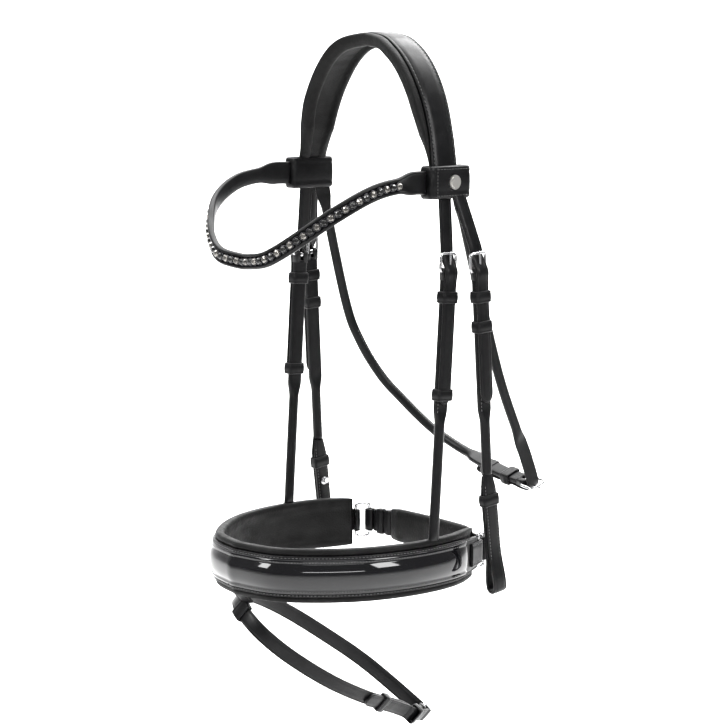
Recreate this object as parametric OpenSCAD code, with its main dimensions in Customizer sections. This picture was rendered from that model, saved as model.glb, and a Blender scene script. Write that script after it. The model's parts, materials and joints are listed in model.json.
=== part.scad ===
// Snaffle bridle with a padded crank noseband and a flash strap.
// +X is the wearer's left side, -Y is the front of the face and +Z is up.
// The origin is the underside of the crown at the poll, where the bridle hangs.

/* [Overall] */
// Drop from the poll to the middle of the noseband
nose_drop = 431; // [360:1:520]
// Half width of the noseband, inside its leather
nose_half_w = 99; // [82:1:120]
// Gap between the noseband hangers and the cheekpieces
cheek_gap = 13.5; // [13:0.5:18]

/* [Crown] */
// Drop from the poll to the browband loops
loop_drop = 112; // [95:1:135]
// Half width between the browband loops
loop_x = 87; // [70:1:105]
// Width of the crown at its ends
crown_end_w = 28; // [24:1:34]
// Widest width of the crown, beside the poll
crown_w = 38; // [34:1:46]
// Thickness of the crown leather
crown_t = 3.6; // [3:0.1:5]
// Thickness of the crown padding
crown_pad_t = 7; // [4:0.5:12]

/* [Browband] */
// Height of the browband strip
browband_h = 13; // [11:0.5:18]
// Thickness of the browband strip
browband_t = 5; // [3.5:0.5:7]
// How far the browband dips below its loops
browband_dip = 64; // [30:1:75]
// Distance from the crown forward to the browband's front
browband_reach = 137; // [120:1:160]
// Number of crystals
crystal_count = 47; // [21:2:51]
// Diameter of one crystal
crystal_d = 5; // [3.5:0.1:5.4]
// Height of the browband loops
loop_h = 27; // [20:1:32]

/* [Noseband] */
// Height of the noseband leather
noseband_h = 34; // [30:1:38]
// Thickness of the noseband leather
noseband_t = 3.2; // [2.5:0.1:4]
// Height of the noseband padding
nose_pad_h = 45; // [40:1:56]
// Thickness of the noseband padding
nose_pad_t = 7; // [4:0.5:10]
// Height of the patent leather overlay
overlay_h = 26; // [20:1:28]
// Thickness of the patent leather overlay
overlay_t = 2.4; // [1.5:0.1:3]
// Distance from the cheeks forward to the noseband's front
nose_reach = 152; // [120:1:185]
// Distance from the cheeks back to the noseband's ends
nose_back = 45; // [35:1:60]

/* [Straps and buckles] */
// Width of the flat straps
strap_w = 13; // [11:0.5:16]
// Thickness of one layer of strap leather
strap_t = 2.4; // [2:0.1:3]
// Diameter of the rolled straps
roll_d = 8.6; // [7:0.1:9.6]
// Diameter of the buckle wire
wire_d = 2.4; // [2:0.1:2.8]
// Length of a buckle frame along its strap
frame_l = 15; // [13:0.5:20]
// Length of each keeper along its strap
keeper_l = 10; // [7:0.5:12]
// Length of a billet below its buckle
billet_l = 112; // [90:1:124]
// Inner radius of the loop that holds the bit ring
bit_loop_r = 3.2; // [3:0.1:4]
// Length of the bit loop strap
bit_loop_l = 100; // [85:1:110]

/* [Hidden] */

$fn = 32;
gap = 0.3;
up = [0, 0, 1];
left = [1, 0, 0];
leather = [0.10, 0.10, 0.11];
patent = [0.03, 0.03, 0.035];
steel = [0.75, 0.76, 0.78];
crystal = [0.35, 0.34, 0.33];

// ---- Directions, curves and swept straps ----

function unit(v) = v / norm(v);
function mirror_x(p) = [-p.x, p.y, p.z];

// A point on a smooth curve between b and c, a share t of the way along
function curve_point(a, b, c, d, t) =
  0.5 * (2 * b + (c - a) * t + (2 * a - 5 * b + 4 * c - d) * t * t
         + (3 * b - a - 3 * c + d) * t * t * t);

// A smooth curve through the points, with n steps between each pair
function smooth(p, n) = concat(
  [for (i = [0:len(p) - 2], k = [0:n - 1])
    curve_point(p[max(i - 1, 0)], p[i], p[i + 1], p[min(i + 2, len(p) - 1)], k / n)],
  [p[len(p) - 1]]);

// The same curve carried on through its own mirror image, from right to left
function both_sides(p) = concat(
  [for (i = [len(p) - 1:-1:1]) mirror_x(p[i])], p);

function tangent(p, i) = unit(p[min(i + 1, len(p) - 1)] - p[max(i - 1, 0)]);

// The part of a vector that is square to a direction
function square_to(v, t) = unit(v - (v * t) * t);

function value_at(v, i) = is_list(v) ? v[i] : v;

// Outward directions along a level curve that runs from right to left round the front
function level_out(p) = [for (i = [0:len(p) - 1])
  let (t = tangent(p, i)) unit([t.y, -t.x, 0])];

// A solid through rings of points, each ring running anticlockwise seen from its end
module loft(rings) {
  m = len(rings[0]);
  n = len(rings);
  sides = [for (i = [0:n - 2], j = [0:m - 1])
    let (a = i * m + j, b = i * m + (j + 1) % m)
    each [[a, a + m, b + m], [a, b + m, b]]];
  polyhedron(
    points = [for (r = rings) each r],
    faces = concat(
      [[for (j = [0:m - 1]) j]],
      sides,
      [[for (j = [m - 1:-1:0]) (n - 1) * m + j]]));
}

// A flat strap along a path: half widths, and its two faces measured along out
module ribbon(path, out, half_w, low, high) {
  loft([for (i = [0:len(path) - 1])
    let (
      t = tangent(path, i),
      o = square_to(is_list(out[0]) ? out[i] : out, t),
      s = cross(t, o),
      h = value_at(half_w, i),
      lo = value_at(low, i),
      hi = value_at(high, i))
    [for (c = [[hi, -h], [hi, h], [lo, h], [lo, -h]]) path[i] + c[0] * o + c[1] * s]]);
}

// A frame of directions at a point: its place, outward, sideways and along
function frame_at(p, along, out) =
  let (a = unit(along), o = square_to(out, a)) [p, o, cross(a, o), a];
function to_world(f, q) = f[0] + q.x * f[1] + q.y * f[2] + q.z * f[3];

// Draws what is in a frame's own directions: x outward, y sideways, z along
module in_frame(f) {
  multmatrix([
    [f[1].x, f[2].x, f[3].x, f[0].x],
    [f[1].y, f[2].y, f[3].y, f[0].y],
    [f[1].z, f[2].z, f[3].z, f[0].z]]) children();
}

// A strap's path and half widths with a round end added at each end
function round_path(p) = let (n = len(p), a = tangent(p, 0), b = tangent(p, n - 1))
  concat([p[0] - 0.92 * strap_w / 2 * a, p[0] - 0.6 * strap_w / 2 * a], p,
         [p[n - 1] + 0.6 * strap_w / 2 * b, p[n - 1] + 0.92 * strap_w / 2 * b]);
function round_widths(p) =
  concat([0.2 * strap_w, 0.4 * strap_w], [for (q = p) strap_w / 2], [0.4 * strap_w, 0.2 * strap_w]);

module on_side(s) {
  if (s > 0)
    children();
  else
    mirror([1, 0, 0]) children();
}

// ---- Buckles and keepers, in the frame of their own strap ----

frame_w = strap_w + 1 + wire_d;
corner_r = 3;
chape_r = wire_d / 2 + gap + 1.9;
tongue_d = 2;
tongue_x = wire_d / 2 + gap + tongue_d / 2;
tongue_w = 2.6;
slot_w = tongue_w + 2 * gap;
billet_x = strap_t + gap + strap_t / 2;
billet_heel_x = chape_r + gap + strap_t / 2;
billet_under_x = -(wire_d / 2 + 2 * gap + strap_t / 2);
keeper_wall = 1.3;
keeper_gap = 0.35;
fixed_keeper_z = -21;

module quarter_bend(r, d) {
  rotate_extrude(angle = 90) translate([r, 0]) circle(d = d);
}

// A wire rectangle in the YZ plane, from z = 0 to z = l
module wire_frame(w, l, r, d) {
  h = w / 2;
  for (s = [-1, 1]) {
    translate([0, s * h, r]) cylinder(d = d, h = l - 2 * r);
    translate([0, s * (h - r), l - r])
      rotate([0, -90, 0]) rotate([0, 0, s > 0 ? 0 : -90]) quarter_bend(r, d);
    translate([0, s * (h - r), r])
      rotate([0, -90, 0]) rotate([0, 0, s > 0 ? 90 : 180]) quarter_bend(r, d);
  }
  for (z = [0, l])
    translate([0, -(h - r), z]) rotate([-90, 0, 0]) cylinder(d = d, h = w - 2 * r);
}

module buckle_frame() {
  color(steel) wire_frame(frame_w, frame_l, corner_r, wire_d);
}

// The tongue turns on the heel bar and rests over the front bar
module buckle_tongue() {
  color(steel) {
    difference() {
      union() {
        rotate([90, 0, 0]) cylinder(r = tongue_x, h = tongue_w, center = true);
        translate([tongue_x, 0, 0]) cylinder(d = tongue_d, h = frame_l + 1);
        translate([tongue_x, 0, frame_l + 1]) sphere(d = tongue_d);
      }
      rotate([90, 0, 0])
        cylinder(r = wire_d / 2 + 0.1, h = tongue_w + 2, center = true);
    }
  }
}

// The doubled strap that holds a buckle by its heel bar, with room for the tongue
module chape(length) {
  difference() {
    rotate([90, 0, 0])
      linear_extrude(strap_w, center = true) {
        circle(r = chape_r);
        polygon([[-chape_r, 0], [-strap_t, -12], [-strap_t, -length],
                 [strap_t, -length], [strap_t, -12], [chape_r, 0]]);
      }
    rotate([90, 0, 0])
      cylinder(r = wire_d / 2 + 0.1, h = strap_w + 2, center = true);
    translate([-chape_r - 1, -slot_w / 2, -chape_r - gap])
      cube([2 * chape_r + 2, slot_w, 2 * chape_r + 2]);
  }
}

// The part of a billet that goes under the front bar, over the heel bar and down
function billet_local(length) = [
  [billet_under_x, 0, frame_l + 6],
  [billet_under_x, 0, frame_l + 1],
  [billet_under_x / 2 + billet_heel_x / 2, 0, frame_l * 0.5],
  [billet_heel_x, 0, 0],
  [billet_x, 0, -13],
  [billet_x, 0, -length + strap_w / 2]];

module tongue_slot() {
  translate([-1, -slot_w / 2, -3])
    cube([chape_r + strap_t + 4, slot_w, frame_l * 0.5 + 6]);
}

// A sleeve round both layers of strap, centred at z = 0
module keeper_sleeve(low, high, w) {
  x0 = low - keeper_gap;
  x1 = high + keeper_gap;
  h = w / 2 + keeper_gap;
  color(leather)
    difference() {
      translate([x0 - keeper_wall, -h - keeper_wall, -keeper_l / 2])
        cube([x1 - x0 + 2 * keeper_wall, 2 * (h + keeper_wall), keeper_l]);
      translate([x0, -h, -keeper_l])
        cube([x1 - x0, 2 * h, 2 * keeper_l]);
    }
}

module strap_keeper() {
  keeper_sleeve(-strap_t, billet_x + strap_t / 2, strap_w);
}

// ---- Where things are ----

crown_end_z = -(loop_drop + 9);
pivot_z = crown_end_z - strap_w / 2 - 2;
heel_z = pivot_z - 56;
hanger_x = nose_half_w - 1.4;
nose_z = -nose_drop;

hanger_heel = [hanger_x, -1, heel_z];
hanger_foot = [hanger_x, -15, nose_z + nose_pad_h / 2 + 4];
hanger_pivot = [loop_x + 1.5, 2, pivot_z];
hanger_frame = frame_at(hanger_heel, hanger_heel - hanger_foot, left);

cheek_heel = [hanger_x + cheek_gap, 21, heel_z];
bit_top = [hanger_x + cheek_gap + 2, 31, nose_z + 70];
bit_foot = [hanger_x + cheek_gap + 2.5, 31 + 0.12 * bit_loop_l, nose_z + 70 - bit_loop_l];
cheek_pivot = [loop_x + 6, 8, pivot_z];
cheek_frame = frame_at(cheek_heel, cheek_heel - bit_top, left);
bit_frame = frame_at(bit_top, bit_top - bit_foot, left);

throat_pivot = [loop_x + 3, 19, pivot_z];

// ---- Crown and browband ----

// Inner face of the crown leather, from the poll down the left side
crown_side = [
  [0, 2, crown_pad_t], [0.31 * loop_x, 2, crown_pad_t - 5],
  [0.57 * loop_x, 2, -0.13 * loop_drop], [0.78 * loop_x, 2, -0.37 * loop_drop],
  [0.91 * loop_x, 2, -0.64 * loop_drop], [0.98 * loop_x, 2, -0.89 * loop_drop],
  [loop_x, 2, crown_end_z]];

function crown_path(n) = both_sides(smooth(crown_side, n));
function crown_out(p) = [for (i = [0:len(p) - 1])
  let (t = tangent(p, i)) unit([-t.z, 0, t.x])];
function crown_half(i, n) =
  let (s = abs(i - 6 * n) / (6 * n))
  crown_end_w / 2 + (crown_w - crown_end_w) / 2 * (s < 0.12 ? 0.7 : max(0, 1 - 1.6 * (s - 0.12)));

crown_steps = 4;

module crown_strap() {
  p = crown_path(crown_steps);
  color(leather)
    ribbon(p, crown_out(p), [for (i = [0:len(p) - 1]) crown_half(i, crown_steps)],
           0, crown_t);
}

// The padding stops above the browband loops and thins towards its ends
module crown_padding() {
  all = crown_path(crown_steps);
  trim = crown_steps + 2;
  n = len(all);
  p = [for (i = [trim:n - 1 - trim]) all[i]];
  depth = [for (i = [trim:n - 1 - trim])
    crown_pad_t * (1 - 0.5 * pow(abs(i - n / 2) / (n / 2 - trim), 2))];
  color(leather)
    ribbon(p, crown_out(p),
           [for (i = [trim:n - 1 - trim]) crown_half(i, crown_steps) + 2],
           [for (d = depth) -d], 0);
}

loop_y = [-crown_end_w / 2 - 3 - gap, crown_end_w / 2 + 9 + gap];
loop_in_x = [loop_x - 3.5, loop_x + 9];
loop_wall = 1.8;

module browband_loop(s) {
  color(leather)
    on_side(s)
      difference() {
        translate([loop_in_x[0] - loop_wall, loop_y[0] - loop_wall, -loop_drop - loop_h / 2])
          cube([loop_in_x[1] - loop_in_x[0] + 2 * loop_wall,
                loop_y[1] - loop_y[0] + 2 * loop_wall, loop_h]);
        translate([loop_in_x[0], loop_y[0], -loop_drop - loop_h])
          cube([loop_in_x[1] - loop_in_x[0], loop_y[1] - loop_y[0], 2 * loop_h]);
      }
}

browband_start_y = loop_y[0] - loop_wall - gap;

// Middle of the browband, from the front's centre round to the left loop
browband_line = [
  [0, -browband_reach, -loop_drop - browband_dip],
  [0.31 * loop_x, -browband_reach - 2, -loop_drop - 0.95 * browband_dip],
  [0.51 * loop_x, -browband_reach + 2, -loop_drop - 0.83 * browband_dip],
  [0.71 * loop_x, -browband_reach + 12, -loop_drop - 0.63 * browband_dip],
  [0.95 * loop_x, -browband_reach + 33, -loop_drop - 0.32 * browband_dip],
  [1.06 * loop_x, -browband_reach + 64, -loop_drop - 0.08 * browband_dip],
  [1.06 * loop_x, browband_start_y - 18, -loop_drop],
  [loop_x + 2.5, browband_start_y, -loop_drop]];

browband_steps = 4;
function browband_path() = both_sides(smooth(browband_line, browband_steps));

module browband() {
  p = browband_path();
  color(leather)
    ribbon(p, level_out(p), browband_h / 2, -browband_t / 2, browband_t / 2);
}

// A place along a path, a share u of its length from end to end
function along_path(p, u) =
  let (k = u * (len(p) - 1), i = min(floor(k), len(p) - 2)) p[i] + (k - i) * (p[i + 1] - p[i]);

crystal_h = 2.2;

// Cut stones, evenly spaced between the browband's plain ends
module browband_crystals() {
  p = browband_path();
  o = level_out(p);
  first = 0.12;
  color(crystal)
    for (i = [0:crystal_count - 1]) {
      u = first + (1 - 2 * first) * i / (crystal_count - 1);
      d = square_to(along_path(o, u), tangent(p, round(u * (len(p) - 1))));
      in_frame(frame_at(along_path(p, u) + (browband_t / 2 + 0.05) * d, d, up))
        cylinder(d1 = crystal_d, d2 = 0.6 * crystal_d, h = crystal_h);
    }
}

badge_d = 12;
module browband_badge() {
  color(steel)
    translate([loop_in_x[1] + loop_wall, 6, -loop_drop])
      rotate([0, 90, 0]) {
        cylinder(d = badge_d, h = 1.2);
        cylinder(d = badge_d - 3, h = 1.8);
      }
}

// ---- Noseband hangers and cheekpieces ----

// A billet from its pivot under the crown, through its buckle, to its tip
module billet(pivot, f) {
  path = smooth(concat([pivot], [for (q = billet_local(billet_l)) to_world(f, q)]), 3);
  color(leather)
    difference() {
      ribbon(round_path(path), f[1], round_widths(path), -strap_t / 2, strap_t / 2);
      in_frame(f) tongue_slot();
    }
}

chape_l = billet_l + 6;
tab_w = 11;
tab_depth = 22;

module nose_hanger() {
  foot_z = -norm(hanger_heel - hanger_foot);
  color(leather)
    in_frame(hanger_frame) {
      chape(chape_l);
      translate([0, 0, -chape_l]) sphere(d = roll_d);
      translate([0, 0, foot_z]) cylinder(d = roll_d, h = -foot_z - chape_l);
      translate([0, 0, foot_z]) sphere(d = roll_d);
      translate([-strap_t / 2, -tab_w / 2, foot_z - tab_depth])
        cube([strap_t, tab_w, tab_depth]);
    }
}

module cheek_strap() {
  foot_z = -norm(cheek_heel - bit_top);
  color(leather)
    in_frame(cheek_frame) {
      chape(chape_l);
      translate([0, 0, -chape_l]) sphere(d = roll_d);
      translate([0, 0, foot_z + 6]) cylinder(d = roll_d, h = -foot_z - 6 - chape_l);
      translate([0, 0, foot_z + 6]) sphere(d = roll_d);
    }
}

bit_leaf_x = bit_loop_r + strap_t;
bit_w = strap_w + 1;
bit_open_l = 22;

// A folded strap, sewn together above the loop that takes the bit ring
module bit_loop() {
  z0 = -bit_loop_l + bit_leaf_x;
  color(leather)
    in_frame(bit_frame)
      difference() {
        union() {
          rotate([90, 0, 0])
            linear_extrude(bit_w, center = true) {
              translate([0, z0]) circle(r = bit_leaf_x);
              polygon([[-bit_leaf_x, z0], [bit_leaf_x, z0], [bit_leaf_x, z0 + 8],
                       [strap_t + gap, z0 + bit_open_l + 14], [strap_t + gap, -8],
                       [roll_d / 3, 0], [-strap_t - gap, 4],
                       [-strap_t - gap, z0 + bit_open_l + 14], [-bit_leaf_x, z0 + 8]]);
            }
        }
        translate([0, 0, z0])
          rotate([90, 0, 0]) cylinder(r = bit_loop_r, h = bit_w + 2, center = true);
        rotate([90, 0, 0])
          linear_extrude(bit_w + 2, center = true)
            polygon([[-bit_loop_r, z0], [bit_loop_r, z0], [bit_loop_r, z0 + 8],
                     [0, z0 + bit_open_l + 8], [-bit_loop_r, z0 + 8]]);
      }
}

module bit_keeper() {
  in_frame(bit_frame)
    translate([0, 0, -18]) keeper_sleeve(-strap_t - gap, strap_t + gap, bit_w);
}

// A steel stud on the inner leaf, with a head that hooks into the strap
module hook_stud() {
  color(steel)
    in_frame(bit_frame)
      translate([-strap_t - 2 * gap, 0, -36])
        rotate([0, -90, 0]) {
          cylinder(d = 7, h = 0.8);
          cylinder(d = 2.6, h = 4.2);
          translate([0.8, 0, 3.4]) cylinder(d = 5, h = 1.4);
        }
}

// ---- Noseband ----

// Inner face of the noseband leather, from its front's centre to its left end
nose_line = [
  [0, -nose_reach + 4, nose_z], [0.38 * nose_half_w, -nose_reach + 13, nose_z],
  [0.65 * nose_half_w, -nose_reach + 36, nose_z],
  [0.86 * nose_half_w, -nose_reach + 67, nose_z],
  [0.97 * nose_half_w, -nose_reach + 101, nose_z],
  [nose_half_w, -0.4 * nose_back, nose_z], [0.96 * nose_half_w, 0.3 * nose_back, nose_z],
  [0.83 * nose_half_w, nose_back, nose_z]];
nose_steps = 4;

function nose_path() = both_sides(smooth(nose_line, nose_steps));

// The path moved outward by d, as plan points
function plan_offset(p, d) =
  let (o = level_out(p)) [for (i = [0:len(p) - 1]) [p[i].x + d * o[i].x, p[i].y + d * o[i].y]];

// A level band round the path, between two distances from it
module band(p, low, high, h) {
  inner = plan_offset(p, low);
  outer = plan_offset(p, high);
  translate([0, 0, nose_z - h / 2])
    linear_extrude(h)
      polygon(concat(outer, [for (i = [len(inner) - 1:-1:0]) inner[i]]));
}

module noseband_base() {
  color(leather) band(nose_path(), 0, noseband_t, noseband_h);
}

// The padding has a pocket for the sewn end of each hanger
module noseband_padding() {
  pocket = [strap_t + 2 * gap, tab_w + 6, tab_depth + 8];
  color(leather)
    difference() {
      band(nose_path(), -nose_pad_t, -0.05, nose_pad_h);
      for (s = [-1, 1])
        on_side(s)
          in_frame(hanger_frame)
            translate([-pocket.x / 2, -pocket.y / 2,
                       -norm(hanger_heel - hanger_foot) - tab_depth - 2])
              cube([pocket.x + 3, pocket.y, pocket.z]);
    }
}

overlay_trim = 3;
module patent_overlay() {
  p = nose_path();
  n = len(p);
  color(patent)
    band([for (i = [overlay_trim:n - 1 - overlay_trim]) p[i]],
         noseband_t + 0.05, noseband_t + overlay_t, overlay_h);
}

ring_w = 30;
ring_l = 13;
ring_d = 3;
ring_chape_r = ring_d / 2 + gap + strap_t;
nose_end = nose_line[len(nose_line) - 1];
nose_end_dir = unit(nose_end - nose_line[len(nose_line) - 2]);
ring_heel = nose_end + (ring_chape_r + 1) * nose_end_dir + [noseband_t / 2, 0, 0];
ring_frame = frame_at(ring_heel, [-0.45, 1, 0], left);
ring_bar = to_world(ring_frame, [0, 0, ring_l]);

// Leather folds that hold the crank rings on the noseband's ends
module ring_chapes() {
  color(leather)
    for (s = [-1, 1])
      on_side(s)
        in_frame(frame_at(ring_heel, nose_end_dir, left))
          difference() {
            union() {
              rotate([90, 0, 0]) cylinder(r = ring_chape_r, h = 20, center = true);
              translate([-noseband_t / 2, -10, -16 - ring_chape_r])
                translate([noseband_t + 0.1, 0, 0]) cube([strap_t, 20, 17 + ring_chape_r]);
            }
            rotate([90, 0, 0]) cylinder(r = ring_d / 2 + 0.1, h = 22, center = true);
          }
}

module crank_ring() {
  color(steel)
    in_frame(ring_frame) wire_frame(ring_w, ring_l, corner_r, ring_d);
}

chin_h = 20;
chin_t = 3;
chin_pad_h = 30;
chin_pad_t = 6;
chin_side = [
  [0, ring_bar.y + 7, nose_z], [0.45 * nose_half_w, ring_bar.y + 5, nose_z],
  [ring_bar.x - ring_chape_r - 2, ring_bar.y + 1, nose_z]];
function chin_path() = both_sides(smooth(chin_side, 5));

chin_back_y = chin_side[1].y + chin_t / 2 + 1;
chin_heel = [0.34 * nose_half_w, chin_back_y + chape_r - 1, nose_z];
chin_frame = frame_at(chin_heel, [-1, 0.06, 0], [0, 1, 0]);
chin_tip_l = 34;

// The crank billet lies on the strap's back and runs through its buckle
module chin_billet() {
  start = [-0.45 * nose_half_w, chin_side[1].y + chin_t / 2, nose_z];
  path = smooth(concat([start, start + [0.3 * nose_half_w, 1, 0]],
                       [for (q = billet_local(chin_tip_l)) to_world(chin_frame, q)]), 3);
  difference() {
    ribbon(path, [0, 1, 0], strap_w / 2, -strap_t / 2, strap_t / 2);
    in_frame(chin_frame) tongue_slot();
  }
}

module chin_strap() {
  p = chin_path();
  color(leather) {
    band(p, -chin_t / 2, chin_t / 2, chin_h);
    chin_billet();
    in_frame(chin_frame) chape(16);
    for (s = [-1, 1])
      on_side(s)
        translate([ring_bar.x, ring_bar.y, nose_z - chin_h / 2])
          difference() {
            union() {
              cylinder(r = ring_chape_r, h = chin_h);
              translate([-ring_chape_r - 3, -chin_t / 2, 0])
                cube([ring_chape_r + 2, chin_t, chin_h]);
            }
            translate([0, 0, -1]) cylinder(r = ring_d / 2 + 0.1, h = chin_h + 2);
          }
  }
}

module chin_pad() {
  p = chin_path();
  n = len(p);
  color(leather)
    translate([0, 0, 1])
      band([for (i = [3:n - 2]) p[i]], chin_t / 2 + 0.05, chin_t / 2 + chin_pad_t, chin_pad_h);
}

module chin_buckle() {
  in_frame(chin_frame) buckle_frame();
}

module chin_tongue() {
  in_frame(chin_frame) buckle_tongue();
}

// Two leather keepers side by side, between the right ring and the pad
module chin_keepers() {
  p = chin_path();
  for (i = [1, 2])
    in_frame(frame_at(p[i], p[i + 1] - p[i - 1], [0, 1, 0]))
      keeper_sleeve(-chin_t / 2 - 3 * gap, chin_t / 2 + 3 * gap, chin_h);
}

// ---- Flash strap, in a plane that slopes down and back ----

flash_drop = 14;
flash_pivot = [0, -nose_reach + 1.4, nose_z - noseband_h / 2 - 2.4];
flash_front = [0, -nose_reach + 10, nose_z - nose_pad_h / 2 - flash_drop];
flash_back = unit([0, 0.855, -0.52]);
flash_side = square_to([0.86, 0, -0.5], flash_back);
flash_normal = cross(flash_back, flash_side);
flash_l = 240;
flash_half_w = 52;

function flash_point(q) = flash_front + q[0] * flash_back + q[1] * flash_side;

// One side of the flash strap from its front to its back, as distances back and out
flash_line = [
  [0, 0], [0.035 * flash_l, 0.5 * flash_half_w], [0.14 * flash_l, 0.85 * flash_half_w],
  [0.33 * flash_l, flash_half_w], [0.54 * flash_l, 0.88 * flash_half_w],
  [0.75 * flash_l, 0.58 * flash_half_w]];
flash_heel_q = [0.925 * flash_l, 0.26 * flash_half_w];
flash_along = flash_point([flash_l, 0]) - flash_point(flash_heel_q);
flash_out = cross(flash_normal, unit(flash_along));
flash_frame = frame_at(flash_point(flash_heel_q), flash_along, flash_out);

function flash_outward(p) = [for (i = [0:len(p) - 1]) cross(tangent(p, i), flash_normal)];

flash_inner = concat(
  [to_world(flash_frame, [0, 0, -28])],
  [for (i = [5:-1:0]) flash_point(flash_line[i])],
  [for (i = [1:5]) flash_point([flash_line[i][0], -flash_line[i][1]])]);
flash_outer = [for (q = billet_local(38)) to_world(flash_frame, q)];

// Second layer of the flash strap, outside the left side of the first
flash_second = [for (i = [5, 4])
  flash_point(flash_line[i]) + (strap_t + gap) * flash_side];

module flash_strap() {
  first = concat([to_world(flash_frame, [0, 0, -14])], smooth(flash_inner, 4));
  arrive = smooth(concat(
    [flash_point([flash_line[5][0], -flash_line[5][1]])],
    [for (i = [2:4]) flash_outer[i]],
    [to_world(flash_frame, [billet_x, 0, -26]), flash_outer[5]], flash_second), 3);
  color(leather) {
    in_frame(flash_frame) chape(16);
    ribbon(first, flash_outward(first), strap_w / 2, -strap_t / 2, strap_t / 2);
    difference() {
      union() {
        ribbon(arrive, flash_outward(arrive), strap_w / 2, -strap_t / 2, strap_t / 2);
        in_frame(frame_at(flash_second[1], flash_normal, flash_side))
          translate([-strap_t / 2, 0, 0])
            rotate([0, 90, 0]) cylinder(d = strap_w, h = strap_t);
      }
      in_frame(flash_frame) tongue_slot();
    }
  }
}

flash_tab_w = 18;
flash_tab_rise = 1.8;
flash_loop_frame = frame_at(flash_front, flash_side, -flash_back);

// A rounded edge of the tab: 0 at its pivot, 1 below the noseband's padding
module flash_tab_edge(i) {
  translate(flash_pivot - [0, 0, i * 7]) rotate([0, 90, 0])
    cylinder(d = strap_t, h = flash_tab_w, center = true);
}

// A leather loop under the noseband's front that the flash strap runs through
module flash_loop() {
  color(leather) {
    in_frame(flash_loop_frame)
      keeper_sleeve(-strap_t / 2, strap_t / 2, strap_w);
    hull() {
      flash_tab_edge(0);
      flash_tab_edge(1);
    }
    hull() {
      flash_tab_edge(1);
      in_frame(flash_loop_frame) translate([0, -strap_w / 2 - flash_tab_rise, 0])
        cylinder(d = strap_t, h = keeper_l, center = true);
    }
  }
}

module flash_buckle() {
  in_frame(flash_frame) buckle_frame();
}

module flash_tongue() {
  in_frame(flash_frame) buckle_tongue();
}

module flash_keeper() {
  in_frame(flash_frame) translate([0, 0, fixed_keeper_z]) strap_keeper();
}

flash_runner_frame = frame_at(
  (flash_point(flash_line[4]) + flash_point(flash_line[5])) / 2,
  flash_point(flash_line[5]) - flash_point(flash_line[4]), flash_side);

module flash_runner() {
  in_frame(flash_runner_frame)
    keeper_sleeve(-strap_t / 2, strap_t * 1.5 + gap, strap_w);
}

// ---- Throatlash ----

throat_left = [
  throat_pivot, [hanger_x - 6, 59, pivot_z - 136], [hanger_x - 6, 84, pivot_z - 196]];
throat_right = [
  mirror_x(throat_pivot), [-hanger_x + 6, 46, pivot_z - 100],
  [-hanger_x + 12, 58, pivot_z - 137], [-0.76 * nose_half_w, 73, pivot_z - 168],
  [-0.61 * nose_half_w, 84, pivot_z - 188], [-0.35 * nose_half_w, 97, pivot_z - 213],
  [-0.1 * nose_half_w, 103, pivot_z - 226], [0.17 * nose_half_w, 106, pivot_z - 235]];
throat_heel = [hanger_x - 14, 106, pivot_z - 247];
throat_across = [0, 0.94, 0.34];
throat_along = [1, 0.02, -0.12];
throat_out = cross(throat_across, throat_along);
throat_frame = frame_at(throat_heel, throat_along, throat_out);
throat_tip_l = 64;

// Rolled leather that follows a curve
module throat_roll(path) {
  loft([for (i = [0:len(path) - 1])
    let (
      t = tangent(path, i),
      o = square_to(throat_across, t),
      s = cross(t, o))
    [for (a = [0:30:330]) path[i] + roll_d / 2 * (cos(a) * o + sin(a) * s)]]);
}

// From the left side of the crown down, through the buckle and back along the strap
module throat_billet() {
  from = throat_left[2];
  local = billet_local(throat_tip_l);
  path = smooth(concat([from + [0, 4, -10], from + [0, 9, -21]],
                       [for (i = [2:5]) to_world(throat_frame, local[i])]), 4);
  color(leather) {
    throat_roll(concat(throat_left, [from + [0, 6, -14]]));
    difference() {
      ribbon(path, [for (i = [0:len(path) - 1]) cross(tangent(path, i), throat_across)],
             strap_w / 2, -strap_t / 2, strap_t / 2);
      in_frame(throat_frame) tongue_slot();
    }
  }
}

module throatlash() {
  from = throat_right[len(throat_right) - 1];
  to = to_world(throat_frame, [0, 0, -10]);
  path = concat(smooth([from, to_world(throat_frame, [0, 0, -58])], 2), [to]);
  color(leather) {
    throat_roll(smooth(throat_right, 2));
    ribbon(path, throat_out, strap_w / 2, -strap_t, strap_t);
    in_frame(throat_frame) chape(14);
  }
}

module throat_buckle() {
  in_frame(throat_frame) buckle_frame();
}

module throat_tongue() {
  in_frame(throat_frame) buckle_tongue();
}

module throat_keeper() {
  in_frame(throat_frame) translate([0, 0, fixed_keeper_z]) strap_keeper();
}

throat_runner_z = -46;
module throat_runner() {
  in_frame(throat_frame) translate([0, 0, throat_runner_z]) strap_keeper();
}

nose_runner_z = -102;
cheek_runner_z = -46;

crown_strap();
crown_padding();
browband();
browband_loop(1);  // browband_loop_left
browband_loop(-1);  // browband_loop_right
browband_crystals();
browband_badge();
on_side(1) billet(hanger_pivot, hanger_frame);  // nose_billet_left
on_side(-1) billet(hanger_pivot, hanger_frame);  // nose_billet_right
on_side(1) nose_hanger();  // nose_hanger_left
on_side(-1) nose_hanger();  // nose_hanger_right
on_side(1) in_frame(hanger_frame) buckle_frame();  // nose_buckle_left
on_side(-1) in_frame(hanger_frame) buckle_frame();  // nose_buckle_right
on_side(1) in_frame(hanger_frame) buckle_tongue();  // nose_tongue_left
on_side(-1) in_frame(hanger_frame) buckle_tongue();  // nose_tongue_right
on_side(1) in_frame(hanger_frame) translate([0, 0, fixed_keeper_z]) strap_keeper();  // nose_keeper_left
on_side(-1) in_frame(hanger_frame) translate([0, 0, fixed_keeper_z]) strap_keeper();  // nose_keeper_right
on_side(1) in_frame(hanger_frame) translate([0, 0, nose_runner_z]) strap_keeper();  // nose_runner_left
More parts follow.
